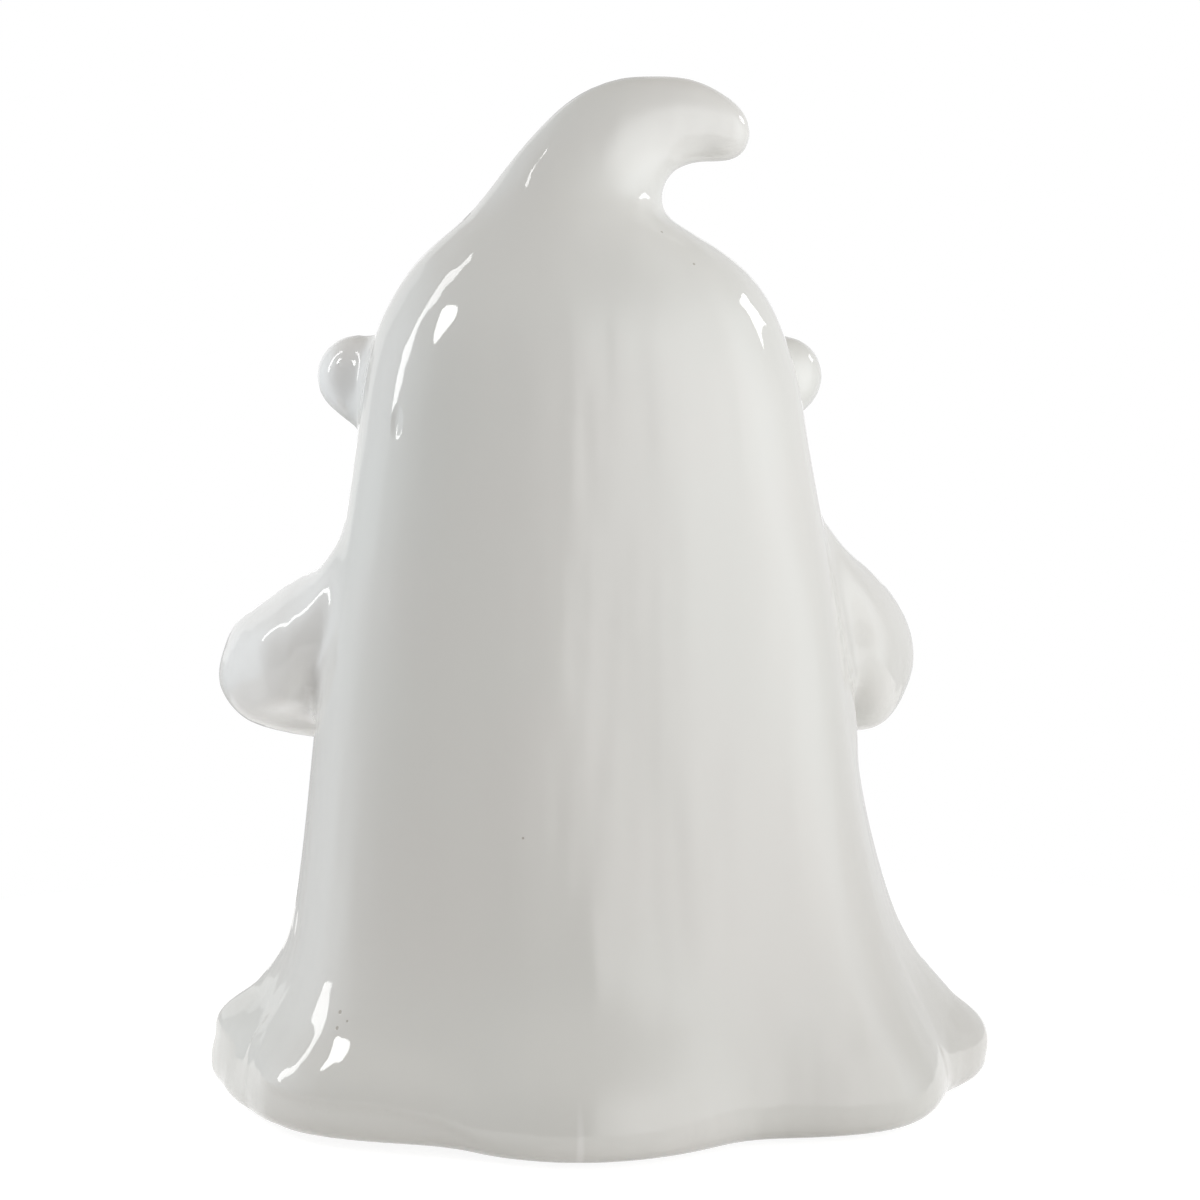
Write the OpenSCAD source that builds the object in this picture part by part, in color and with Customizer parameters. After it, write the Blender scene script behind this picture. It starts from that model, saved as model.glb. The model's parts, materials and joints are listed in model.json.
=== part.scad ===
// Ceramic ghost figure: a hollow sheet-like body with a hooked peak and a folded hem,
// two arms and two ears joined to its skin, a plain face, a vented floor and felt pads.
// The figure faces -Y and stands on its pads at Z = 0.

/* [Figure] */
// Height from the resting face to the top of the peak
figure_h = 305; // [240:1:380]
// Width of the body at the hem, before the folds are added
hem_w = 208; // [180:1:240]
// Depth of the body at the hem, before the folds are added
hem_d = 148; // [130:1:170]

/* [Shell] */
// Thickness of the cast wall
wall_t = 5; // [3:0.5:7]
// Rounding under the edge of the hem
hem_r = 8; // [5:0.5:10]
// Width of the flat ring that the shell would stand on without its pads
foot_w = 5; // [3:0.5:8]
// Width of the step inside the foot that the floor seats against
ledge_w = 2; // [1:0.5:3]

/* [Arms] */
// Height where the arm starts to leave the body
shoulder_z = 167; // [161:1:172]
// How much higher the right shoulder and upper arm sit than the left ones
right_rise = 7; // [0:0.5:8]
// Width of the shoulder where it leaves the body
shoulder_w = 12; // [8:1:16]
// How far the shoulder sits in front of the side line
shoulder_turn = 0; // [0:1:14]
// Height of the middle of the upper arm
upper_z = 147; // [145:1:152]
// Thickness of the upper arm
upper_d = 17; // [15:1:22]
// Width of the upper arm, front to back
upper_w = 34; // [28:1:38]
// How far the middle of the upper arm stands off the body
upper_reach = 2; // [1:0.5:4]
// How far the upper arm sits in front of the side line
upper_turn = 3; // [0:1:14]
// Height of the elbow
elbow_z = 126; // [123:0.5:130]
// Thickness of the arm at the elbow
elbow_d = 43; // [41:1:46]
// How far the middle of the elbow stands off the body
elbow_reach = 19; // [16:0.5:19.5]
// How far the elbow sits in front of the side line
elbow_turn = 25; // [20:1:30]
// Height of the wrist
wrist_z = 117; // [112:1:121]
// Thickness of the wrist
wrist_d = 31; // [28:1:34]
// How far the middle of the wrist stands off the body
wrist_reach = 14.5; // [12:0.5:15]
// How far the wrist sits in front of the side line
wrist_turn = 47; // [42:1:50]
// Height of the hand
hand_z = 109; // [102:1:114]
// Thickness of the hand
hand_d = 26; // [20:1:30]
// How far the middle of the hand stands off the belly
hand_reach = 11; // [9:0.5:14]
// How far the hand sits in front of the side line
hand_turn = 60; // [54:1:66]

/* [Ears] */
// Height of the middle of the ear joint
ear_z = 214.5; // [208:0.5:221]
// Height of the ear joint
ear_h = 33; // [28:1:36]
// Width of the ear joint, front to back
ear_w = 29; // [22:1:32]
// How far the ear stands off the head
ear_reach = 18.5; // [15:0.5:24]
// Thickness of the rounded end of the ear
ear_d = 26; // [20:1:28]
// How far the end of the ear is lifted above its joint
ear_lift = 2; // [0:0.5:5]
// How far the ear sits in front of the side line
ear_turn = 21; // [14:1:30]

/* [Face] */
// Height of the middle of the eyes
eye_z = 207; // [200:1:212]
// Height of one eye
eye_h = 28; // [18:1:32]
// Width of one eye
eye_w = 18; // [12:1:22]
// Distance between the middles of the eyes
eye_gap = 41; // [34:1:46]
// Height of the middle of the mouth
mouth_z = 176; // [168:1:180]
// Height of the mouth
mouth_h = 18; // [12:1:22]
// Width of the mouth
mouth_w = 15; // [10:1:20]
// How far the eyes and the mouth stand proud of the skin
face_raise = 2; // [1:0.25:3]

/* [Base] */
// Thickness of the floor
floor_t = 5; // [3:0.5:7]
// How far the floor is let in above the foot ring
floor_recess = 1; // [0.5:0.25:2]
// Gap between the edge of the floor and the foot ring
floor_gap = 0.3; // [0.2:0.1:0.6]
// Diameter of the vent hole through the floor
vent_d = 14; // [8:1:20]
// Diameter of a felt pad
pad_d = 14; // [10:1:20]
// Thickness of a felt pad
pad_t = 2; // [2:0.5:4]
// Distance from the edge of the floor to the edge of a pad
pad_edge = 9; // [2:1:20]

/* [Hidden] */

glaze_colour = "#ECECE8";
black_glaze_colour = "#17171A";
bisque_colour = "#E6DCCB";
felt_colour = "#4A4A4C";

// Depth that an applied piece is pressed into the scored skin
bond = 1.5;
// How far a cut runs past the faces that it goes through
overrun = 1;
// The front of the figure, measured round from its left side
front = 270;
left_side = 0;
right_side = 180;

// Sides of a ring of the body, and of a ring of a limb or a face pad
body_sides = 64;
limb_sides = 28;
// Rings of the body between two rows of its outline
rings_per_row = 2;
round_steps = 4;
// Sides of a circle that is cut or punched
circle_sides = 96;
// Step along an arm from ring to ring, where its line has a knot at 0, 1, 2 and so on
arm_step = 0.25;
// How far a ring of a limb looks along the line, each way, to square itself to it
limb_aim = 0.7;

stand_h = pad_t - floor_recess;
body_h = figure_h - stand_h;

// The outline, from the hem up and over the hooked peak. Each row is one section, cut from a
// point on the figure's left to a point on its right, with its depth and its squareness:
// [left, left height, right, right height, back depth, front depth, squareness]
// Sideways shares are of half hem_w, heights of body_h and depths of half hem_d.
outline_shares = [
    [ 1.000, 0.000, -0.990, 0.000, 1.000, 1.000, 2.2],
    [ 0.992, 0.046, -0.985, 0.046, 0.985, 0.990, 2.2],
    [ 0.936, 0.095, -0.928, 0.095, 0.930, 0.950, 2.2],
    [ 0.882, 0.141, -0.872, 0.141, 0.880, 0.910, 2.3],
    [ 0.862, 0.200, -0.820, 0.200, 0.840, 0.880, 2.3],
    [ 0.834, 0.300, -0.752, 0.300, 0.790, 0.840, 2.4],
    [ 0.806, 0.400, -0.716, 0.400, 0.760, 0.810, 2.4],
    [ 0.764, 0.500, -0.678, 0.500, 0.735, 0.770, 2.4],
    [ 0.722, 0.580, -0.628, 0.580, 0.715, 0.730, 2.4],
    [ 0.692, 0.650, -0.590, 0.650, 0.695, 0.705, 2.4],
    [ 0.673, 0.700, -0.567, 0.700, 0.675, 0.685, 2.4],
    [ 0.640, 0.750, -0.524, 0.750, 0.635, 0.645, 2.3],
    [ 0.585, 0.790, -0.470, 0.790, 0.580, 0.585, 2.2],
    [ 0.509, 0.826, -0.370, 0.826, 0.505, 0.505, 2.1],
    [ 0.394, 0.859, -0.207, 0.859, 0.425, 0.420, 2.0],
    [ 0.330, 0.883, -0.178, 0.873, 0.352, 0.350, 2.0],
    [ 0.261, 0.914, -0.175, 0.885, 0.304, 0.300, 2.0],
    [ 0.178, 0.947, -0.184, 0.895, 0.264, 0.262, 2.0],
    [ 0.080, 0.978, -0.204, 0.906, 0.236, 0.236, 2.0],
    [-0.035, 0.996, -0.235, 0.913, 0.214, 0.214, 2.0],
    [-0.143, 1.000, -0.272, 0.917, 0.195, 0.195, 2.0],
    [-0.258, 0.998, -0.310, 0.918, 0.176, 0.176, 2.0],
    [-0.350, 0.984, -0.350, 0.918, 0.153, 0.153, 2.0],
    [-0.404, 0.969, -0.389, 0.921, 0.122, 0.122, 2.0],
    [-0.427, 0.954, -0.415, 0.928, 0.075, 0.075, 2.0],
    [-0.431, 0.941, -0.431, 0.941, 0.000, 0.000, 2.0],
];
last_row = len(outline_shares) - 1;
// Rows of the outline where the hollow inside starts, and where it closes under the peak
cavity_first_row = 2;
cavity_last_row = 14;
// Inset of the hollow in its section, as a share of the wall, since the wall leans
wall_lean_share = 1.15;

// The folds of the hem, round from the figure's left over its back: [angle, half angle,
// reach as a share of the body's radius there, share of the reach that runs on up the body]
fold_shares = [
    [-17, 18,  0.186, 0.07],
    [ 27, 18,  0.100, 0.05],
    [ 58,  9, -0.018, 0.04],
    [ 82, 27,  0.185, 0.05],
    [119, 12, -0.055, 0.02],
    [144, 17,  0.120, 0.30],
    [168,  8, -0.020, 0.60],
    [184, 15,  0.180, 0.12],
    [222, 15,  0.070, 0.20],
    [246, 12, -0.050, 0.20],
    [270, 22,  0.160, 0.10],
    [306, 14,  0.090, 0.20],
    [324, 11, -0.050, 0.20],
];
// Height at which the flare of the folds is half spent, and how sharply it fades
fold_rise_share = 0.115;
fold_fade = 4;

// Rows of a table, joined by a smooth curve: row 0 at v = 0, row 1 at v = 1 and so on
function on_curve(rows, v) =
    let (last = len(rows) - 1)
    let (i = max(0, min(floor(v), last - 1)))
    let (t = v - i)
    let (before = rows[max(i - 1, 0)], from = rows[i], to = rows[i + 1], after = rows[min(i + 2, last)])
    from + t * (to - before) / 2
        + t * t * (2 * before - 5 * from + 4 * to - after) / 2
        + t * t * t * (3 * from - before - 3 * to + after) / 2;

// Smallest turn between two angles, -180 to 180
function turn_between(a, b) = (a - b + 900) % 360 - 180;

function fold_height(height_share, running_share) =
    (1 - running_share) / (1 + pow(max(height_share, 0) / fold_rise_share, fold_fade))
        + running_share * max(0, 1 - height_share);

function fold_at(angle, height_share) =
    [for (f = fold_shares)
        f[2] * exp(-pow(turn_between(angle, f[0]) / f[1], 2)) * fold_height(height_share, f[3])]
    * [for (f = fold_shares) 1];

// A point of the body's skin: row of the outline, angle round it from the figure's left over
// its back, and how far the point lies inside the skin
function skin(row, angle, inset) =
    let (s = on_curve(outline_shares, row))
    let (left = [s[0] * hem_w / 2, stand_h + s[1] * body_h])
    let (right = [s[2] * hem_w / 2, stand_h + s[3] * body_h])
    let (middle = (left + right) / 2, half = norm(left - right) / 2)
    let (depth = (sin(angle) > 0 ? s[4] : s[5]) * hem_d / 2, n = s[6])
    let (radius = pow(pow(abs(cos(angle)) / half, n) + pow(abs(sin(angle)) / depth, n), -1 / n))
    let (reach = radius * (1 + fold_at(angle, (s[1] + s[3]) / 2)) - inset)
    let (aside = (left - right) / (2 * half) * cos(angle) * reach)
    [middle[0] + aside[0], sin(angle) * reach, middle[1] + aside[1]];

// The row of the outline at a height, below the peak
row_heights = [for (i = [0:cavity_last_row])
    [stand_h + (outline_shares[i][1] + outline_shares[i][3]) / 2 * body_h, i]];
function row_at(z) = lookup(z, row_heights);
function on_skin(z, angle, out) = skin(row_at(z), angle, -out);

// The middle of the body at a row, and the angle that a length spans on the skin there
function axis_point(row) = (skin(row, left_side, 0) + skin(row, right_side, 0)) / 2;
function span(z, angle, length) =
    length / norm(on_skin(z, angle, 0) - axis_point(row_at(z))) * 180 / PI;

function skin_ring(row, inset) =
    [for (i = [0:body_sides - 1]) skin(row, 360 * i / body_sides, inset)];
function lifted(ring, z) = [for (p = ring) [p[0], p[1], z]];

// A closed skin over rings of points, from a first point to a last one
module loft(first, rings, last) {
    n = len(rings[0]);
    end = len(rings) * n + 1;
    points = [first, for (ring = rings) each ring, last];
    faces = [
        for (i = [0:n - 1]) [0, 1 + i, 1 + (i + 1) % n],
        for (k = [0:len(rings) - 2], i = [0:n - 1])
            let (a = 1 + k * n + i, b = 1 + k * n + (i + 1) % n)
            each [[a, b + n, b], [a, a + n, b + n]],
        for (i = [0:n - 1]) [end, end - n + (i + 1) % n, end - n + i]
    ];
    polyhedron(points, faces);
}

// Body

foot_z = stand_h;
floor_z = stand_h + floor_recess;
ledge_z = floor_z + floor_t;
foot_inset = hem_r + foot_w;
floor_inset = foot_inset + floor_gap;
// Where the pads stand, round the floor
pad_angles = [35, 145, 215, 325];

// Rings of the hem's rounded edge, from the foot ring out to the full width
hem_rings = [for (i = [0:round_steps - 1])
    let (a = 90 * i / round_steps, z = foot_z + hem_r * (1 - cos(a)))
    lifted(skin_ring(row_at(z), hem_r * (1 - sin(a))), z)];

// Rings of the outside, from the top of that edge to the end of the peak
skin_rings = [
    skin_ring(row_at(foot_z + hem_r), 0),
    for (i = [rings_per_row:rings_per_row * last_row - 1]) skin_ring(i / rings_per_row, 0),
];

// Rings of the inside, from the top of the hollow down to the seat of the floor
cavity_rings = [for (i = [cavity_last_row:-1:cavity_first_row])
    skin_ring(i, wall_t * wall_lean_share)];
foot_ring = skin_ring(0, foot_inset);
seat_rings = [
    lifted(skin_ring(0, foot_inset + ledge_w), ledge_z),
    lifted(foot_ring, ledge_z),
    lifted(foot_ring, foot_z),
];

module body_shell() {
    color(glaze_colour)
        loft(
            axis_point(cavity_last_row + 1),
            [each cavity_rings, each seat_rings, each hem_rings, each skin_rings],
            skin(last_row, left_side, 0)
        );
}

// Arms, ears and face

// A limb's knots are [angle round the body, height, reach off the skin, half thickness,
// half width]
function knot_point(knot) = on_skin(knot[1], knot[0], knot[2]);

// The angle round the body of a place that sits so far in front of the left or the right side
function in_front_of(side, turn) = side == left_side ? -turn : right_side + turn;

// A point that would lie deeper in the body than the bond is brought out to that depth
function seated(p) =
    let (row = row_at(p[2]), middle = axis_point(row))
    let (aside = p[0] - middle[0], angle = atan2(p[1], aside))
    let (bed = skin(row, angle, bond) - middle)
    norm([aside, p[1]]) > norm([bed[0], bed[1]]) ? p : [middle[0] + bed[0], bed[1], p[2]];

// The way that a limb's thickness is measured: off the skin, or up where the limb stands
// straight off the skin
function thick_way(knot, along) =
    let (off = knot_point(knot + [0, 0, bond, 0, 0]) - knot_point(knot), out = off / norm(off))
    norm(cross(out, along)) > 0.5 ? out : [0, 0, 1];

// A ring round a limb's line at v, square to the line, or round its end when ahead is over 0
function limb_ring(knots, v, ahead) =
    let (knot = on_curve(knots, v), half_t = knot[3], half_w = knot[4])
    let (from = max(v - limb_aim, 0), to = min(v + limb_aim, len(knots) - 1))
    let (step = knot_point(on_curve(knots, to)) - knot_point(on_curve(knots, from)))
    let (along = step / norm(step))
    let (across = cross(thick_way(knot, along), along), aside = across / norm(across))
    let (rise = cross(along, aside))
    [for (i = [0:limb_sides - 1])
        let (a = 360 * i / limb_sides)
        seated(knot_point(knot) + along * half_t * sin(ahead)
            + cos(ahead) * (aside * half_w * cos(a) + rise * half_t * sin(a)))];

function limb_end(knots, v) = limb_ring(knots, v, 90)[0];

// The joint ring of an ear or a face pad, at a depth in the skin or a height off it
function joint_ring(angle, z, half_w, half_h, out) =
    [for (i = [0:limb_sides - 1])
        let (a = 360 * i / limb_sides)
        on_skin(z + half_h * sin(a), angle + span(z, angle, half_w) * cos(a), out)];

function arm_knots(side) =
    let (rise = side == right_side ? right_rise : 0) [
    [in_front_of(side, shoulder_turn), shoulder_z + rise, 0, bond, shoulder_w / 2],
    [in_front_of(side, upper_turn), upper_z + rise, upper_reach, upper_d / 2, upper_w / 2],
    [in_front_of(side, elbow_turn), elbow_z, elbow_reach, elbow_d / 2, elbow_d / 2],
    [in_front_of(side, wrist_turn), wrist_z, wrist_reach, wrist_d / 2, wrist_d / 2],
    [in_front_of(side, hand_turn), hand_z, hand_reach, hand_d / 2, hand_d / 2],
];

// An arm that hangs from the shoulder, bends at the elbow and lays its hand on the belly
module arm(side) {
    knots = arm_knots(side);
    tip = len(knots) - 1;
    color(glaze_colour)
        loft(
            on_skin(knots[0][1] + bond, knots[0][0], -bond),
            [
                for (v = [arm_step / 2, each [arm_step:arm_step:tip]]) limb_ring(knots, v, 0),
                for (i = [1:round_steps - 1]) limb_ring(knots, tip, 90 * i / round_steps),
            ],
            limb_end(knots, tip)
        );
}

// An ear pressed on to the side of the head, with a domed end
module ear(side) {
    angle = in_front_of(side, ear_turn);
    knots = [
        [angle, ear_z, 0, ear_h / 2, ear_w / 2],
        [angle, ear_z + ear_lift, ear_reach - ear_d / 2, ear_d / 2, ear_d / 2],
    ];
    color(glaze_colour)
        loft(
            on_skin(ear_z, angle, -bond),
            [
                joint_ring(angle, ear_z, ear_w / 2, ear_h / 2, -bond),
                for (v = [0.5, 1]) limb_ring(knots, v, 0),
                for (i = [1:round_steps - 1]) limb_ring(knots, 1, 90 * i / round_steps),
            ],
            limb_end(knots, 1)
        );
}

// The crown of a face pad: [share of its half width, share of its rise]
crown_shares = [[1, 0.3], [0.93, 0.68], [0.72, 0.92], [0.4, 0.99]];

// An oval pad of clay pressed on the front, with a soft crown
module face_pad(z, aside, w, h) {
    angle = front + span(z, front, aside);
    color(black_glaze_colour)
        loft(
            on_skin(z, angle, -bond),
            [
                joint_ring(angle, z, w / 2, h / 2, -bond),
                for (c = crown_shares) joint_ring(angle, z, c[0] * w / 2, c[0] * h / 2, c[1] * face_raise),
            ],
            on_skin(z, angle, face_raise)
        );
}

module left_arm() {
    arm(left_side);
}

module right_arm() {
    arm(right_side);
}

module left_ear() {
    ear(left_side);
}

module right_ear() {
    ear(right_side);
}

module left_eye() {
    face_pad(eye_z, eye_gap / 2, eye_w, eye_h);
}

module right_eye() {
    face_pad(eye_z, -eye_gap / 2, eye_w, eye_h);
}

module mouth() {
    face_pad(mouth_z, 0, mouth_w, mouth_h);
}

// Base

module base_plate() {
    edge = [for (p = skin_ring(0, floor_inset)) [p[0], p[1]]];
    color(bisque_colour)
        translate([0, 0, floor_z])
            difference() {
                linear_extrude(height = floor_t) polygon(edge);
                translate([0, 0, -overrun])
                    cylinder(h = floor_t + 2 * overrun, d = vent_d, $fn = circle_sides);
            }
}

module felt_pads() {
    color(felt_colour)
        for (angle = pad_angles) {
            place = skin(0, angle, floor_inset + pad_edge + pad_d / 2);
            translate([place[0], place[1], 0])
                cylinder(h = pad_t, d = pad_d, $fn = circle_sides);
        }
}

body_shell();
left_arm();
right_arm();
left_ear();
right_ear();
left_eye();
right_eye();
mouth();
base_plate();
felt_pads();
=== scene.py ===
"""Looks of a white-glazed ceramic ghost figure: cast skin, limbs, face, clay floor and felt."""

import json
import math

import bmesh
import bpy
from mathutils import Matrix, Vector
from mathutils.bvhtree import BVHTree

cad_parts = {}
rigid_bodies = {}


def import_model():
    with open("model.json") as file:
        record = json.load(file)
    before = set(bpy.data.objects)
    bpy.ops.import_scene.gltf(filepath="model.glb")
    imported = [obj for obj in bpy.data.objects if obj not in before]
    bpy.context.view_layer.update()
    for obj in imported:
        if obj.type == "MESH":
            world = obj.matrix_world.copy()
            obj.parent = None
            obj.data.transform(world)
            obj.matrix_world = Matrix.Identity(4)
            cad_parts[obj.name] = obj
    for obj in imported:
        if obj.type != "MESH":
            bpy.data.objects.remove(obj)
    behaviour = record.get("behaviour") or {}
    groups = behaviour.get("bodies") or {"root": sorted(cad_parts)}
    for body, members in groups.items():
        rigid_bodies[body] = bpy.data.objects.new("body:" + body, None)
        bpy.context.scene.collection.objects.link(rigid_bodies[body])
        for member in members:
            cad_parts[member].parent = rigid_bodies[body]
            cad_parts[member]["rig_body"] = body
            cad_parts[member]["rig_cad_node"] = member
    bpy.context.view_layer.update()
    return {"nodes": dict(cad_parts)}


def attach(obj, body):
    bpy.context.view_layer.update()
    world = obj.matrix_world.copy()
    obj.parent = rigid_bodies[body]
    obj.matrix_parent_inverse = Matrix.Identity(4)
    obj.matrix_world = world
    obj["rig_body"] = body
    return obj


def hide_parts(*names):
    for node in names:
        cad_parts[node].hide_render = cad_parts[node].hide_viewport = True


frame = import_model()
nodes = frame["nodes"]

LIMBS = ("left_arm", "right_arm", "left_ear", "right_ear")
FACE = ("left_eye", "right_eye", "mouth")

# Sizes, in metres
MM = 0.001
WELD = 0.01 * MM
# How often the solids' flat faces are halved and rounded
ROUNDING = 2
# Height of a face's normal, at most, under the foot, and either way on an upright wall
UNDERSIDE = -0.9
UPRIGHT = 0.1
# Edge of a face of the cast skin, the passes that settle it, and the share of each pass
SKIN_STEP = 1.5 * MM
SKIN_PASSES = 12
SETTLE_SHARE = 0.5
# The slip that is sponged into the corner where a limb meets the body
FILLET_REACH = {"left_arm": 16 * MM, "right_arm": 16 * MM, "left_ear": 9 * MM, "right_ear": 9 * MM}
FILLET_PASSES = 90
# Where a limb begins to be clear of that corner, and how far on it is wholly clear
CLEAR_START = 1 * MM
CLEAR_REACH = 9 * MM
# Passes that straighten the border between two pieces of the skin
BORDER_PASSES = 6
# The share to which a limb's open end shrinks to the figure's axis, into the body's wall
LUTE_SHRINK = 0.97
# How far the cut of the hollow runs on below the foot
CUT_OVERRUN = 3 * MM
# Softened edges of the clay floor and of the felt pads, their steps, and the sharpest bend
# in degrees that is shaded smoothly
CLAY_EDGE = 0.8 * MM
FELT_EDGE = 0.5 * MM
EDGE_STEPS = 3
SMOOTH_BEND = 30

# The turned-in lip of the hem's left back fold, in millimetres. Its line is given as places
# along the figure's width and the heights there, its ends as the place and run of each.
LIP_LINE = ((36, 6.5), (42.5, 7.8), (53, 11.9), (69, 14.9), (94, 15.2), (104, 16.5))
LIP_START, LIP_START_RUN = 34, 14
LIP_END, LIP_END_RUN = 108, 10
# It lies behind this depth and under this height
LIP_FRONT = 15
LIP_TOP = 40
# How far above its line it starts to swell, and over which height
LIP_SWELL, LIP_SWELL_RUN = 18, 16
# The tuck below the line is a step and a slope: share, start above the line, height
TUCK = ((0.45, 0.5, 2.5), (0.55, 0, 14))
LIP_DEPTH = 1.3
TUCK_DEPTH = -2.6
# How far the arms' rounded sides are filled out
ARM_SIDE_DEPTH = 2.0

# Sides that a swelling of the clay faces: axis, start and run of the share along the normal
DOWN = (2, 0.4, -0.6)
UP = (2, 0.2, 0.6)
TIP = (0, 0, 1)
LEFT = (0, 0.3, 1)
RIGHT = (0, 0.3, -1)
# Swellings that bring the skin to the photograph's outline, in millimetres: group, direction,
# depth, middle, reach along each axis, side, and whether it stays out of the body's corner
ARM_SWELLINGS = (
    ("left_arm_under", "Z", 3.0, (92, -20, 108), (20, 55, 16), DOWN, True),
    ("left_arm_top", "Z", -2.6, (103, -20, 153), (18, 55, 16), UP, True),
    ("left_arm_end", "X", 1.6, (116, -20, 122), (18, 50, 14), TIP, False),
    ("left_arm_back", "Y", 3.0, (92, -2, 120), (18, 22, 18), None, True),
    ("left_arm_shoulder", "Y", 4.0, (103, -10, 141), (20, 26, 20), None, True),
    ("right_arm_under", "Z", -2.6, (-92, -20, 111), (15, 50, 12), DOWN, True),
    ("right_arm_back", "Y", 9.0, (-77, -2, 118), (22, 30, 22), None, False),
)
LEFT_HEM_SWELLINGS = (
    ("left_lobe", "X", 4.4, (113, -14, 25.5), (16, 50, 10), LEFT, False),
    ("left_lobe_foot", "X", 0.8, (113, -5, 17), (16, 40, 9), LEFT, False),
    ("left_hem_corner", "X", 1.6, (109, 8, 4), (14, 20, 9), LEFT, False),
)
RIGHT_HEM_SWELLINGS = (
    ("right_lobe", "X", -3.6, (-113, 5, 18), (16, 45, 10), RIGHT, False),
    ("right_lobe_foot", "X", -1.5, (-114, 6, 10), (16, 40, 8), RIGHT, False),
    ("right_hem_corner", "X", -1.4, (-112, 12, 3), (14, 26, 8), RIGHT, False),
)
# Where the right arm's back is evened out afterwards, and the passes for it and for the lobes
RIGHT_ARM_LUMPS = ((-79, 4, 122), (18, 32, 30))
LUMP_PASSES = 60
LOBE_PASSES = 12
LOBE_FOOT_PASSES = 10

# Iron specks and pinholes in the glaze, in millimetres: place, radius
SPECKS = (
    ((-23.1, 32.2, 248.7), 0.55), ((77.8, 48.4, 35.4), 0.5), ((79.7, 45.6, 37.4), 0.8),
    ((80.6, 47.5, 33.3), 0.7), ((28.8, 58.0, 88.1), 0.45), ((-14.6, 26.8, 258.0), 0.5),
)
# Painted light: spots where the glaze is painted paler, so that the left ear and left arm look
# more brightly lit: place and reach in millimetres, and share
PAINTED_LIGHT_SPOTS = (
    ((85, -14, 221), 25, 1.0), ((97, -10, 139), 42, 0.8),
)
# Colours, in pairs where a pattern goes from one to the other
WHITE_TINTS = ((0.762, 0.757, 0.732), (0.757, 0.760, 0.733))
# The paler white of the painted light on the left ear and arm, and of the seam's pale trace
PAINTED_LIGHT_AND_SEAM_WHITE = (0.93, 0.93, 0.92)
SPECK_BROWN = (0.30, 0.25, 0.20)
BLACK_TINTS = ((0.008, 0.008, 0.009), (0.028, 0.022, 0.018))
GRIT_TINTS = ((0.72, 0.66, 0.56), (0.60, 0.52, 0.42))
PALE_CLAY = (0.80, 0.75, 0.66)
FELT_TINTS = ((0.03, 0.03, 0.032), (0.075, 0.075, 0.08))

# Camera, as the photograph was taken: from behind, a little to the figure's left. The turn
# and the tilt are in degrees, the lens in millimetres.
CAMERA_TURN = 173
CAMERA_DISTANCE = 840 * MM
CAMERA_HEIGHT = 217.5 * MM
CAMERA_TILT = 4.6
CAMERA_LENS = 84.53

# Places in the studio are given as seen from the figure's middle: an angle about it, from 0
# at the camera's side and counted towards the photograph's right, and a height angle.
STUDIO_MIDDLE = Vector((0, 0, 150 * MM))
# Watts that a softbox needs for a brightness of 1 over a square metre
LAMP_WATTS = math.pi
# The lamps' distance in metres, and each one's angle, height angle, width and height in
# metres, brightness and shape
LAMP_DISTANCE = 1.5
SOFTBOXES = {
    "strip_softbox": (-95, 33, 0.17, 1.3, 6.5, "RECTANGLE"),
    "small_lamp": (-71, 38, 0.22, 0.36, 9, "ELLIPSE"),
    "right_rim_softbox": (117, 29, 0.32, 0.3, 6, "RECTANGLE"),
    "left_rear_softbox": (-152, 15, 0.8, 0.9, 0.35, "RECTANGLE"),
}
# The studio's walls about the figure: angle, brightness, and how cool they are
STUDIO_WALLS = (
    (-180, 0.55, 0), (-158, 0.58, 0), (-150, 0.62, 0), (-140, 0.72, 0.6), (-130, 0.92, 0.8),
    (-115, 1.42, 1), (-100, 1.74, 1), (-90, 1.24, 1), (-80, 0.93, 1), (-65, 0.22, 1),
    (-50, 0.01, 0), (-5, 0.01, 0), (5, 0.06, 0), (15, 1.43, 0), (25, 1.92, 0), (40, 2.34, 0),
    (55, 1.84, 0), (70, 1.80, 0), (82, 1.78, 0.5), (95, 1.02, 0.7), (105, 0.40, 0),
    (115, 0.25, 0), (122, 0.25, 0), (128, 0.42, 0), (145, 0.68, 0), (156, 0.78, 0),
    (180, 0.75, 0),
)
# Full circle in degrees, and the camera's side as a share of the ramp round the figure
CIRCLE = 360
CAMERA_SIDE = 0.5
# The colour of a cool wall, as shares of its brightness
COOL = (0.94, 1.0, 1.05)
# Colour of the ceiling, and the sines of the heights between which the walls fade into it
CEILING = (0.37, 0.34, 0.31)
CEILING_FADE = (0.38, 0.82)
# The brightness that the world's colours are shares of
BRIGHTEST = 2.4
# The backdrop begins this many degrees from the camera's side, and ends at this height's sine
BACKDROP_EDGE = 168
BACKDROP_TOP = 0.17
# The sine of the height at which the backdrop stands on the table's far edge
TABLE_EDGE = -0.07
# The floor's radius, corners and colour, how dark the figure's shadow shows, and its white
FLOOR_REACH = 0.4
FLOOR_CORNERS = 96
FLOOR_COLOUR = (0.90, 0.88, 0.86)
FLOOR_SHADOW = 0.3
FLOOR_WHITE = 0.9


# Working by hand

def pick(*objects):
    """Selects these objects alone, and makes the first the active one."""
    bpy.ops.object.select_all(action="DESELECT")
    for obj in objects:
        obj.select_set(True)
    bpy.context.view_layer.objects.active = objects[0]


def start_edit(piece):
    """Opens a piece for editing with nothing selected, and gives its mesh."""
    pick(piece)
    bpy.ops.object.mode_set(mode="EDIT")
    bpy.ops.mesh.select_mode(type="FACE")
    bpy.ops.mesh.select_all(action="DESELECT")
    return bmesh.from_edit_mesh(piece.data)


def end_edit():
    """Closes the piece that is open for editing."""
    bpy.ops.object.mode_set(mode="OBJECT")


def select_faces(mesh, wanted):
    """Selects the faces that wanted(face) says yes to, and nothing else."""
    for face in mesh.faces:
        face.select_set(bool(wanted(face)))
    mesh.select_flush_mode()


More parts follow.
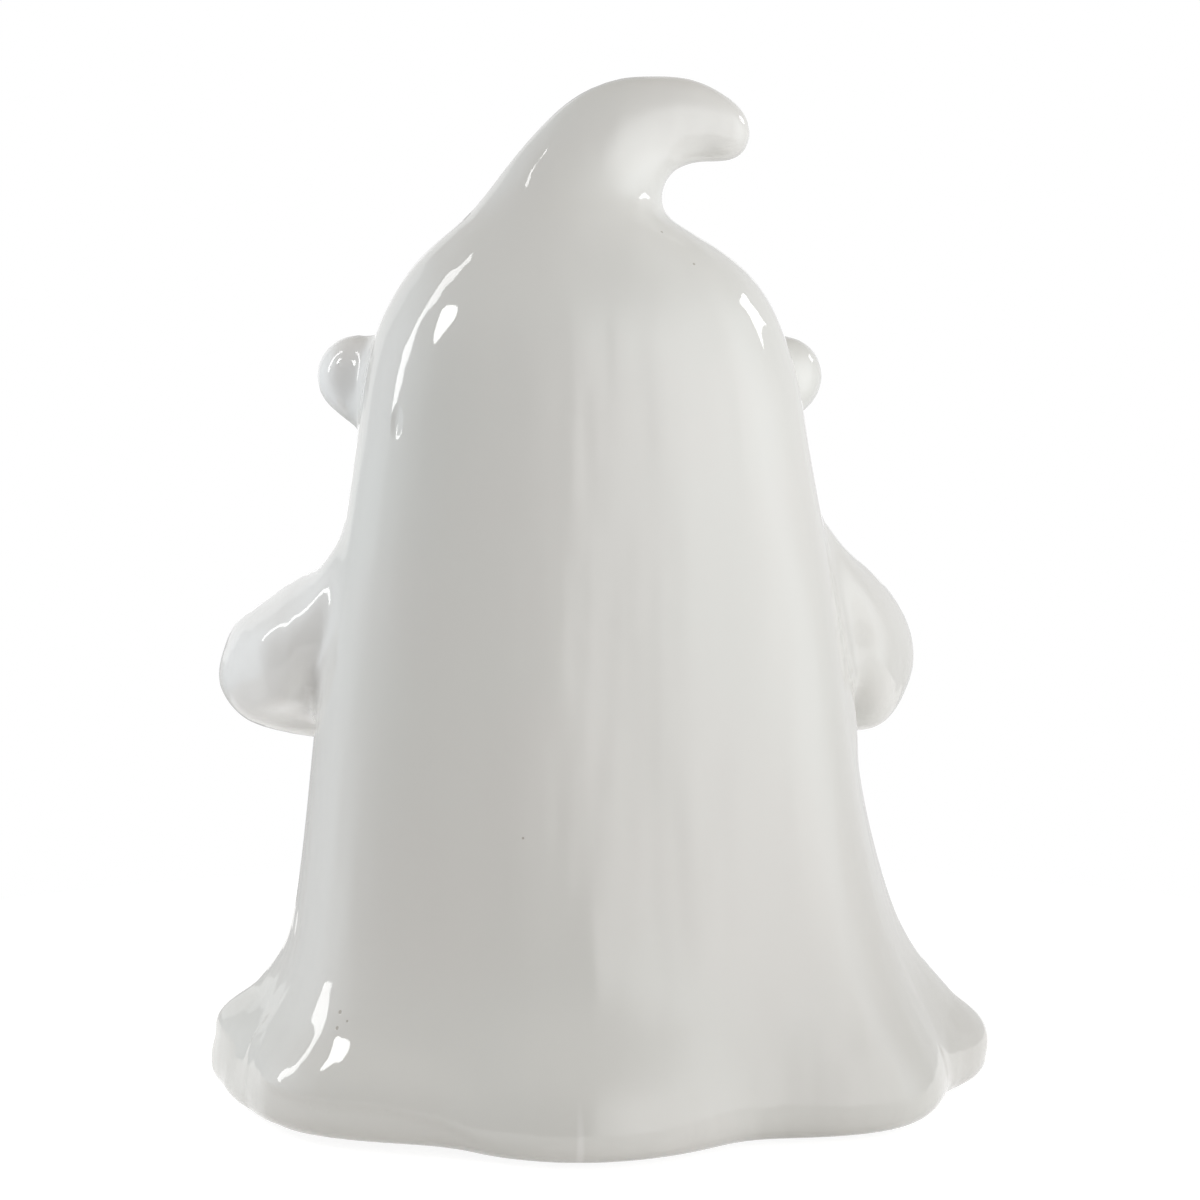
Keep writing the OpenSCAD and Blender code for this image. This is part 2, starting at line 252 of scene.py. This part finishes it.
def select_apart_from_top(mesh, **limits):
    """Selects all that isn't joined to the topmost face, within these limits."""
    top = max(mesh.faces, key=lambda face: face.calc_center_median().z)
    select_faces(mesh, lambda face: face is top)
    bpy.ops.mesh.select_linked(**limits)
    bpy.ops.mesh.select_all(action="INVERT")


def apply_modifier(piece, kind, **settings):
    """Adds a modifier to a piece, sets it up and applies it."""
    pick(piece)
    modifier = piece.modifiers.new(kind.lower(), kind)
    for name, value in settings.items():
        setattr(modifier, name, value)
    bpy.ops.object.modifier_apply(modifier=modifier.name)


def duplicate(piece, name):
    """A copy of a piece, with its own mesh."""
    pick(piece)
    bpy.ops.object.duplicate()
    copy = bpy.context.object
    copy.name = name
    copy.data.name = name
    return copy


def clay_copy(node, name):
    """A copy of one of the frame's solids, with its loose triangles joined up."""
    piece = duplicate(nodes[node], name)
    piece.parent = None
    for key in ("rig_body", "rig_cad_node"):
        del piece[key]
    start_edit(piece)
    bpy.ops.mesh.select_all(action="SELECT")
    bpy.ops.mesh.remove_doubles(threshold=WELD)
    bpy.ops.mesh.tris_convert_to_quads()
    end_edit()
    return piece


def surface_of(piece):
    """The piece's surface, to measure distances to it."""
    mesh = piece.data
    return BVHTree.FromPolygons(
        [vertex.co.copy() for vertex in mesh.vertices],
        [list(polygon.vertices) for polygon in mesh.polygons],
    )


def gap(surface, point):
    """How far a point is from a surface."""
    return surface.find_nearest(point)[3]


def settle(piece, passes, group=""):
    """Evens out a piece's surface, all over or in a group."""
    apply_modifier(
        piece, "SMOOTH", factor=SETTLE_SHARE, iterations=passes, vertex_group=group
    )


def finish_piece(piece, node):
    """Puts a piece in the place of a node of the frame."""
    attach(piece, "root")
    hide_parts(node)


# The cast skin

def part_at_foot(body):
    """Parts the body along the inner edge of its foot, into its skin and its hollow."""
    mesh = start_edit(body)
    for edge in mesh.edges:
        under = [face for face in edge.link_faces if face.normal.z < UNDERSIDE]
        upright = [face for face in edge.link_faces if abs(face.normal.z) < UPRIGHT]
        edge.seam = bool(under and upright)
    select_apart_from_top(mesh, delimit={"SEAM"})
    bpy.ops.mesh.separate(type="SELECTED")
    end_edit()
    hollow = [obj for obj in bpy.context.selected_objects if obj is not body][0]
    hollow.name = "hollow"
    return hollow


def close_openings(piece, shift=(0, 0, 0), shrink=1, fan=False):
    """Draws a piece's open edges along by shift, or towards the figure's axis, and caps them.

    A fan's triangles meet in the cap's middle, so that they don't fold over the piece's own.
    """
    start_edit(piece)
    bpy.ops.mesh.select_mode(type="EDGE")
    bpy.ops.mesh.select_non_manifold()
    if any(shift) or shrink != 1:
        bpy.ops.mesh.extrude_region_move(TRANSFORM_OT_translate={"value": shift})
        bpy.ops.transform.resize(value=(shrink, shrink, 1), center_override=(0, 0, 0))
    bpy.ops.mesh.edge_face_add()
    if fan:
        bpy.ops.mesh.poke()
    bpy.ops.mesh.select_all(action="SELECT")
    bpy.ops.mesh.normals_make_consistent(inside=False)
    end_edit()


def round_off(piece):
    """Rounds the solid's flat faces into smooth clay."""
    apply_modifier(piece, "SUBSURF", levels=ROUNDING, render_levels=ROUNDING)


body = clay_copy("body_shell", "solid_body")
hollow = part_at_foot(body)
round_off(body)
close_openings(body)
close_openings(hollow, (0, 0, -CUT_OVERRUN))
limbs = {name: clay_copy(name, "solid_" + name) for name in LIMBS}
for limb in limbs.values():
    round_off(limb)
body_surface = surface_of(body)
limb_surfaces = {name: surface_of(limb) for name, limb in limbs.items()}


def nearest_limb(point):
    """The limb whose surface is nearest to a point, and how far that is."""
    gaps = {name: gap(surface, point) for name, surface in limb_surfaces.items()}
    name = min(gaps, key=gaps.get)
    return name, gaps[name]


def owner(point):
    """The piece that a point of the skin belongs to."""
    name, away = nearest_limb(point)
    return name if away < gap(body_surface, point) else "body"


def straighten(owners, mesh):
    """Gives each face to the piece that most of its neighbours belong to."""
    faces_at = {}
    for polygon in mesh.polygons:
        for vertex in polygon.vertices:
            faces_at.setdefault(vertex, []).append(polygon.index)
    for _ in range(BORDER_PASSES):
        before = list(owners)
        for polygon in mesh.polygons:
            near = [before[face] for vertex in polygon.vertices for face in faces_at[vertex]]
            if len(set(near)) > 1:
                owners[polygon.index] = max(sorted(set(near)), key=near.count)


def drop_pockets(piece):
    """Takes out the closed pockets that the remesh leaves inside, apart from the surface."""
    mesh = start_edit(piece)
    select_apart_from_top(mesh)
    bpy.ops.mesh.delete(type="FACE")
    end_edit()


skin = body
skin.name = "skin"
pick(skin, *limbs.values())
bpy.ops.object.join()
skin.data.remesh_voxel_size = SKIN_STEP
skin.data.remesh_voxel_adaptivity = 0
bpy.ops.object.voxel_remesh()
drop_pockets(skin)
owners = [owner(polygon.center) for polygon in skin.data.polygons]
straighten(owners, skin.data)


# Where each point of the skin lies: its limb, and its distances to that limb and to the body
near_limb = []
to_limb = []
to_body = []
for vertex in skin.data.vertices:
    name, away = nearest_limb(vertex.co)
    near_limb.append(name)
    to_limb.append(away)
    to_body.append(gap(body_surface, vertex.co))


def weigh(name, share):
    """Puts the skin's points in a group, by share(index, point, normal), from 0 to 1.

    The point that share is asked about is in millimetres.
    """
    group = skin.vertex_groups.new(name=name)
    for vertex in skin.data.vertices:
        weight = share(vertex.index, [value / MM for value in vertex.co], vertex.normal)
        if weight > 0:
            group.add([vertex.index], weight, "REPLACE")


def push_clay(name, direction, depth, share):
    """Pushes the skin's clay by a depth in millimetres, times its share."""
    weigh(name, share)
    apply_modifier(skin, "DISPLACE", direction=direction, strength=depth * MM, mid_level=0,
                   vertex_group=name)


def ease(value):
    """0 below 0, 1 above 1, and a soft curve between."""
    value = min(1.0, max(0.0, value))
    return value * value * (3 - 2 * value)


def swell(point, middle, reach):
    """1 at a swelling's middle, falling softly to 0 at its reach along each axis."""
    away = sum(((point[i] - middle[i]) / reach[i]) ** 2 for i in range(3))
    return max(0.0, 1 - away) ** 2


def fillet_share(index, point, normal):
    """How much a point lies in a corner between a limb and the body."""
    return 1 - max(to_body[index], to_limb[index]) / FILLET_REACH[near_limb[index]]


def clear_of_body(index):
    """1 on a limb away from the body, falling to 0 at the corner between them."""
    return ease((to_body[index] - to_limb[index] - CLEAR_START) / CLEAR_REACH)


def lip_height(x):
    """Height of the lip's line, along the figure's width."""
    for (x0, z0), (x1, z1) in zip(LIP_LINE, LIP_LINE[1:]):
        if x <= x1:
            return z0 + (z1 - z0) * max(0.0, x - x0) / (x1 - x0)
    return LIP_LINE[-1][1]


def lip_ends(point):
    """1 along the lip, falling to 0 at its two ends."""
    x, y, z = point
    if y <= LIP_FRONT or z >= LIP_TOP:
        return 0.0
    return ease((x - LIP_START) / LIP_START_RUN) * ease((LIP_END - x) / LIP_END_RUN)


def above_lip(index, point, normal):
    """How much the clay swells towards the lip from above."""
    below = lip_height(point[0]) - point[2]
    return lip_ends(point) * ease((LIP_SWELL + below) / LIP_SWELL_RUN)


def below_lip(index, point, normal):
    """How much the clay is tucked in under the lip."""
    below = lip_height(point[0]) - point[2]
    return lip_ends(point) * sum(share * ease((below + start) / run) for share, start, run in TUCK)


def arm_side(index, point, normal):
    """Where an arm's rounded side is filled out, so that its back and front are flatter.

    The share is 1 halfway between the back or front and the side.
    """
    if "arm" not in near_limb[index]:
        return 0.0
    return clear_of_body(index) * 4 * normal.y ** 2 * max(0.0, 1 - normal.y ** 2)


def swell_out(swellings):
    """Pushes the clay in each of these swellings."""
    for name, direction, depth, middle, reach, side, clear in swellings:
        def share(index, point, normal):
            amount = swell(point, middle, reach)
            if side:
                axis, start, run = side
                amount *= ease(start + normal[axis] / run)
            return amount * clear_of_body(index) if clear else amount

        push_clay(name, direction, depth, share)


weigh("corners", fillet_share)
settle(skin, FILLET_PASSES, "corners")
settle(skin, SKIN_PASSES)
push_clay("lip", "NORMAL", LIP_DEPTH, above_lip)
push_clay("tuck", "NORMAL", TUCK_DEPTH, below_lip)
push_clay("arm_sides", "NORMAL", ARM_SIDE_DEPTH, arm_side)
swell_out(ARM_SWELLINGS)
weigh("right_arm_lumps", lambda index, point, normal: swell(point, *RIGHT_ARM_LUMPS))
settle(skin, LUMP_PASSES, "right_arm_lumps")
swell_out(LEFT_HEM_SWELLINGS)
settle(skin, LOBE_PASSES, "left_lobe")
settle(skin, LOBE_FOOT_PASSES, "left_lobe_foot")
swell_out(RIGHT_HEM_SWELLINGS)
settle(skin, LOBE_PASSES, "right_lobe")
pick(skin)
bpy.ops.object.shade_smooth()


def cut_out(name):
    """The part of the skin that belongs to one piece, as a piece of its own, still open."""
    piece = duplicate(skin, "cast_" + name)
    mesh = start_edit(piece)
    select_faces(mesh, lambda face: owners[face.index] != name)
    bpy.ops.mesh.delete(type="FACE")
    end_edit()
    return piece


def keep_normals(piece, inside=None):
    """Gives a piece the whole skin's shading, but for its inside, so that no seam shows."""
    outside = piece.vertex_groups.new(name="outside")
    for vertex in piece.data.vertices:
        if inside is None or gap(inside, vertex.co) > WELD:
            outside.add([vertex.index], 1, "REPLACE")
    apply_modifier(
        piece, "DATA_TRANSFER", object=skin, use_loop_data=True, vertex_group="outside",
        data_types_loops={"CUSTOM_NORMAL"}, loop_mapping="POLYINTERP_NEAREST",
    )


cast = []
for name in LIMBS:
    piece = cut_out(name)
    close_openings(piece, shrink=LUTE_SHRINK)
    keep_normals(piece)
    finish_piece(piece, name)
    cast.append(piece)
body = cut_out("body")
close_openings(body, fan=True)
apply_modifier(body, "BOOLEAN", object=hollow, operation="DIFFERENCE", solver="EXACT")
keep_normals(body, surface_of(hollow))
finish_piece(body, "body_shell")
cast.append(body)
bpy.data.objects.remove(hollow)
bpy.data.objects.remove(skin)


# Face, clay floor and felt

face = []
for name in FACE:
    piece = clay_copy(name, "glazed_" + name)
    round_off(piece)
    pick(piece)
    bpy.ops.object.shade_smooth()
    finish_piece(piece, name)
    face.append(piece)


def soften(piece, edge):
    """Softens a piece's sharp edges, and shades what is round smoothly."""
    apply_modifier(piece, "BEVEL", width=edge, segments=EDGE_STEPS, limit_method="ANGLE")
    pick(piece)
    bpy.ops.object.shade_smooth_by_angle(angle=math.radians(SMOOTH_BEND))


clay_floor = clay_copy("base_plate", "clay_floor")
soften(clay_floor, CLAY_EDGE)
finish_piece(clay_floor, "base_plate")
felt_discs = clay_copy("felt_pads", "felt_discs")
soften(felt_discs, FELT_EDGE)
finish_piece(felt_discs, "felt_pads")


# Node trees of materials and of the world

def set_socket(tree, node, socket, value):
    """Gives a node's socket a value, or links it to another node's output."""
    if isinstance(value, bpy.types.NodeSocket):
        tree.links.new(value, node.inputs[socket])
    else:
        node.inputs[socket].default_value = value


def calculate(tree, operation, first, second):
    """A math node's output, from outputs or numbers."""
    node = tree.nodes.new("ShaderNodeMath")
    node.operation = operation
    set_socket(tree, node, 0, first)
    set_socket(tree, node, 1, second)
    return node.outputs["Value"]


def join_up(tree, *links):
    """Links outputs to inputs, each given as a node and its socket."""
    for (source, output), (target, socket) in links:
        tree.links.new(source.outputs[output], target.inputs[socket])


def seen_directly(tree, mirrored=None):
    """1 for rays from the camera, and for those that glaze reflects or that glass lets through.

    The second kind counts only where mirrored says 1, if that is given.
    """
    path = tree.nodes.new("ShaderNodeLightPath")
    mirror_rays = calculate(
        tree, "MAXIMUM", path.outputs["Is Glossy Ray"], path.outputs["Is Transmission Ray"]
    )
    if mirrored is not None:
        mirror_rays = calculate(tree, "MULTIPLY", mirror_rays, mirrored)
    return calculate(tree, "MAXIMUM", path.outputs["Is Camera Ray"], mirror_rays)


class Finish:
    """A material, with short names for the nodes that its patterns are made of.

    Every pattern is in the figure's own metres.
    """

    def __init__(self, name, roughness):
        self.material = bpy.data.materials.new(name)
        self.material.use_nodes = True
        self.tree = self.material.node_tree
        self.shader = self.tree.nodes["Principled BSDF"]
        self.set("Roughness", roughness)
        self.place = self.tree.nodes.new("ShaderNodeTexCoord").outputs["Object"]

    def set(self, socket, value):
        """Gives one of the material's own sockets a value or an output."""
        set_socket(self.tree, self.shader, socket, value)

    def node(self, kind, settings=None, **sockets):
        """A new node, with its settings and its sockets' values or outputs."""
        node = self.tree.nodes.new("ShaderNode" + kind)
        for name, value in (settings or {}).items():
            setattr(node, name, value)
        for name, value in sockets.items():
            set_socket(self.tree, node, name.replace("_", " "), value)
        return node

    def stretched(self, scale):
        """The figure's metres, stretched along its axes."""
        return self.node("Mapping", Vector=self.place, Scale=scale).outputs["Vector"]

    def noise(self, size, detail=2, place=None):
        """Soft blotches of about this size in metres, from 0 to 1."""
        return self.node(
            "TexNoise", Vector=place or self.place, Scale=1 / size, Detail=detail
        ).outputs["Fac"]

    def spread(self, value, low, high, to_low=0, to_high=1):
        """A value's range, drawn out to another range."""
        node = self.node("MapRange", {"interpolation_type": "SMOOTHSTEP"}, Value=value,
                         From_Min=low, From_Max=high, To_Min=to_low, To_Max=to_high)
        return node.outputs["Result"]

    def near(self, point, reach, core=0, scale=(1, 1, 1)):
        """1 within a core about a point, and 0 from its reach on.

        All are in millimetres, in a space that is stretched by scale.
        """
        place = self.place if scale == (1, 1, 1) else self.stretched(scale)
        away = self.node("VectorMath", {"operation": "DISTANCE"}, Vector=place)
        away.inputs[1].default_value = tuple(
            number * MM * share for number, share in zip(point, scale)
        )
        return self.spread(away.outputs["Value"], core * MM, reach * MM, to_low=1, to_high=0)

    def math(self, operation, first, second):
        """A math node's output, from outputs or numbers."""
        return calculate(self.tree, operation, first, second)

    def largest(self, values):
        """The largest of several values."""
        total = values[0]
        for value in values[1:]:
            total = self.math("MAXIMUM", total, value)
        return total

    def mix(self, share, first, second):
        """Two colours, mixed by a share from 0 to 1."""
        node = self.node("Mix", {"data_type": "RGBA"}, Factor=share)
        for socket, colour in ((6, first), (7, second)):
            value = (*colour, 1) if isinstance(colour, tuple) else colour
            set_socket(self.tree, node, socket, value)
        return node.outputs[2]

    def colour(self, colour):
        """Gives the material its colour."""
        self.set("Base Color", colour)

    def bump(self, *heights):
        """Relief from pairs of a height from 0 to 1 and its depth in metres."""
        normal = None
        for height, depth in heights:
            node = self.node("Bump", Height=height, Distance=depth)
            if normal:
                set_socket(self.tree, node, "Normal", normal)
            normal = node.outputs["Normal"]
        self.set("Normal", normal)

    def dress(self, *pieces):
        """Gives the pieces this material, and no other."""
        for piece in pieces:
            piece.data.materials.clear()
            piece.data.materials.append(self.material)


glaze = Finish("white_glaze", roughness=0.035)
tinted = glaze.mix(glaze.spread(glaze.noise(size=0.07), low=0.35, high=0.65), *WHITE_TINTS)
# Painted light: the left ear and left arm are painted paler, as though more brightly lit
painted_light = glaze.largest([
    glaze.math("MULTIPLY", glaze.near(point, reach, core=reach / 2), share)
    for point, reach, share in PAINTED_LIGHT_SPOTS
])
# The mould's seam, fettled away but for a pale trace at its foot
seam = glaze.near((15.9, 85, 4), reach=1.6, core=0.3, scale=(1, 0.05, 0.09))
seam = glaze.math("MULTIPLY", seam, 0.5)
# The glaze goes paler where light is painted on the left ear and arm, and at the seam's pale trace
painted_light_and_seam = glaze.mix(glaze.math("MAXIMUM", painted_light, seam), tinted, PAINTED_LIGHT_AND_SEAM_WHITE)
# Scattered pinholes, one in some of the cells of a net
cells = glaze.node("TexVoronoi", Vector=glaze.place, Scale=1 / 0.024)
draws = glaze.node("SeparateColor", Color=cells.outputs["Color"]).outputs["Red"]
pinholes = glaze.math(
    "MULTIPLY", glaze.spread(draws, low=0.80, high=0.82),
    glaze.spread(cells.outputs["Distance"], low=0.008, high=0.016, to_low=1, to_high=0),
)
specks = glaze.largest([glaze.near(point, reach, core=reach / 2) for point, reach in SPECKS])
marks = glaze.math("MAXIMUM", pinholes, specks)
glaze.colour(glaze.mix(glaze.math("MULTIPLY", marks, 0.55), painted_light_and_seam, SPECK_BROWN))
runs = glaze.noise(size=0.024, place=glaze.stretched((1, 1, 0.12)))
waves = glaze.noise(size=0.010, detail=1)
orange_peel = glaze.noise(size=0.0018)
# A flaw that the glaze ran over
flaw = glaze.near((61.8, 31, 203.5), reach=3.0, core=0.4, scale=(1, 1, 0.5))
glaze.bump((runs, 0.0015), (waves, 0.00012), (orange_peel, 0.000004),
           (marks, -0.00008), (seam, 0.00005), (flaw, -0.0004))
glaze.dress(*cast)

black = Finish("black_glaze", roughness=0.05)
mottle = black.spread(black.noise(size=0.006, detail=3), low=0.4, high=0.75)
black.colour(black.mix(mottle, *BLACK_TINTS))
black.bump((black.noise(size=0.012), 0.00012), (black.noise(size=0.0016), 0.000004))
black.dress(*face)

clay = Finish("bare_clay", roughness=0.85)
grit = clay.noise(size=0.0012, detail=4)
gritty = clay.mix(clay.spread(grit, low=0.55, high=0.7), *GRIT_TINTS)
cloudy = clay.spread(clay.noise(size=0.03, detail=4), low=0.3, high=0.7)
clay.colour(clay.mix(cloudy, gritty, PALE_CLAY))
clay.bump((clay.noise(size=0.02), 0.0003), (grit, 0.00012))
clay.dress(clay_floor)

felt = Finish("felt", roughness=0.95)
felt.set("Sheen Weight", 0.3)
fibres = felt.noise(size=0.0009, detail=5, place=felt.stretched((1, 0.35, 1)))
felt.colour(felt.mix(felt.spread(fibres, low=0.3, high=0.7), *FELT_TINTS))
felt.bump((fibres, 0.0004), (felt.noise(size=0.004), 0.0003))
felt.dress(felt_discs)


# Camera

turn = math.radians(CAMERA_TURN)
# The level directions from the figure to the camera and to the photograph's right
to_camera = Vector((math.sin(turn), -math.cos(turn), 0))
to_right = Vector((math.cos(turn), math.sin(turn), 0))
lens = bpy.data.cameras.new("camera")
lens.lens = CAMERA_LENS
camera = bpy.data.objects.new("camera", lens)
bpy.context.scene.collection.objects.link(camera)
camera.location = (
    CAMERA_DISTANCE * math.sin(turn), -CAMERA_DISTANCE * math.cos(turn), CAMERA_HEIGHT
)
camera.rotation_euler = (math.pi / 2 - math.radians(CAMERA_TILT), 0, turn)
bpy.context.scene.camera = camera


# Lamps, walls and backdrop

def add_softbox(name, angle, rise, width, height, brightness, shape):
    """A soft lamp that faces the figure."""
    lamp = bpy.data.lights.new(name, "AREA")
    lamp.shape = shape
    lamp.size, lamp.size_y = width, height
    lamp.energy = brightness * LAMP_WATTS * width * height
    box = bpy.data.objects.new(name, lamp)
    bpy.context.scene.collection.objects.link(box)
    a = math.radians(angle)
    e = math.radians(rise)
    level = to_camera * math.cos(a) + to_right * math.sin(a)
    away = level * math.cos(e) + Vector((0, 0, math.sin(e)))
    box.location = STUDIO_MIDDLE + away * LAMP_DISTANCE
    box.rotation_euler = (STUDIO_MIDDLE - box.location).to_track_quat("-Z", "Y").to_euler()


for name, settings in SOFTBOXES.items():
    add_softbox(name, *settings)

world = bpy.data.worlds.new("studio")
bpy.context.scene.world = world
world.use_nodes = True
tree = world.node_tree
walls = tree.nodes["Background"]
walls.inputs["Strength"].default_value = BRIGHTEST
view = tree.nodes.new("ShaderNodeTexCoord")
facing = tree.nodes.new("ShaderNodeMapping")
facing.inputs["Rotation"].default_value = (0, 0, math.pi / 2 - turn)
around = tree.nodes.new("ShaderNodeTexGradient")
around.gradient_type = "RADIAL"
ramp = tree.nodes.new("ShaderNodeValToRGB")
ramp.color_ramp.interpolation = "LINEAR"
steps = ramp.color_ramp.elements
while len(steps) > 1:
    steps.remove(steps[-1])
for index, (angle, brightness, cool) in enumerate(STUDIO_WALLS):
    place = angle / CIRCLE + CAMERA_SIDE
    step = steps[0] if index == 0 else steps.new(place)
    step.position = place
    step.color = (*(brightness / BRIGHTEST * (1 + cool * (part - 1)) for part in COOL), 1)
height = tree.nodes.new("ShaderNodeSeparateXYZ")
fade = tree.nodes.new("ShaderNodeMapRange")
fade.interpolation_type = "SMOOTHSTEP"
fade.inputs["From Min"].default_value, fade.inputs["From Max"].default_value = CEILING_FADE
overhead = tree.nodes.new("ShaderNodeMix")
overhead.data_type = "RGBA"
overhead.inputs[7].default_value = (*(part / BRIGHTEST for part in CEILING), 1)
backdrop = tree.nodes.new("ShaderNodeBackground")
backdrop.inputs["Color"].default_value = (1, 1, 1, 1)
blend = tree.nodes.new("ShaderNodeMixShader")
join_up(
    tree,
    ((view, "Generated"), (facing, "Vector")), ((facing, "Vector"), (around, "Vector")),
    ((around, "Fac"), (ramp, "Fac")), ((ramp, "Color"), (overhead, 6)),
    ((view, "Generated"), (height, "Vector")), ((height, "Z"), (fade, "Value")),
    ((fade, "Result"), (overhead, "Factor")), ((overhead, 2), (walls, "Color")),
    ((walls, 0), (blend, 1)), ((backdrop, 0), (blend, 2)),
    ((blend, 0), (tree.nodes["World Output"], "Surface")),
)
# The camera sees white all round. In the glaze the backdrop behind the figure is white too.
sideways = calculate(tree, "SUBTRACT", around.outputs["Fac"], CAMERA_SIDE)
round_the_figure = calculate(tree, "ABSOLUTE", sideways, 0)
behind = calculate(tree, "GREATER_THAN", round_the_figure, BACKDROP_EDGE / CIRCLE)
low = calculate(tree, "LESS_THAN", height.outputs["Z"], BACKDROP_TOP)
above_table = calculate(tree, "GREATER_THAN", height.outputs["Z"], TABLE_EDGE)
on_backdrop = calculate(tree, "MULTIPLY", behind, calculate(tree, "MULTIPLY", low, above_table))
tree.links.new(seen_directly(tree, on_backdrop), blend.inputs["Fac"])


# The floor: lights the figure as pale paper does, and is seen white but for its shadow

bpy.ops.object.select_all(action="DESELECT")
bpy.ops.mesh.primitive_circle_add(
    vertices=FLOOR_CORNERS, radius=FLOOR_REACH, fill_type="NGON"
)
floor = bpy.context.object
floor.name = "studio_floor"
paper = bpy.data.materials.new("paper")
paper.use_nodes = True
tree = paper.node_tree
tree.nodes.remove(tree.nodes["Principled BSDF"])
lit = tree.nodes.new("ShaderNodeBsdfDiffuse")
lit.inputs["Color"].default_value = (*FLOOR_COLOUR, 1)
shadowed = tree.nodes.new("ShaderNodeBsdfDiffuse")
shadowed.inputs["Color"].default_value = (*(FLOOR_SHADOW * part for part in FLOOR_COLOUR), 1)
glow = tree.nodes.new("ShaderNodeEmission")
glow.inputs["Strength"].default_value = FLOOR_WHITE
seen = tree.nodes.new("ShaderNodeAddShader")
blend = tree.nodes.new("ShaderNodeMixShader")
join_up(
    tree,
    ((shadowed, 0), (seen, 0)), ((glow, 0), (seen, 1)), ((lit, 0), (blend, 1)),
    ((seen, 0), (blend, 2)), ((blend, 0), (tree.nodes["Material Output"], "Surface")),
)
tree.links.new(seen_directly(tree), blend.inputs["Fac"])
floor.data.materials.append(paper)

bpy.context.scene.view_settings.view_transform = "Standard"
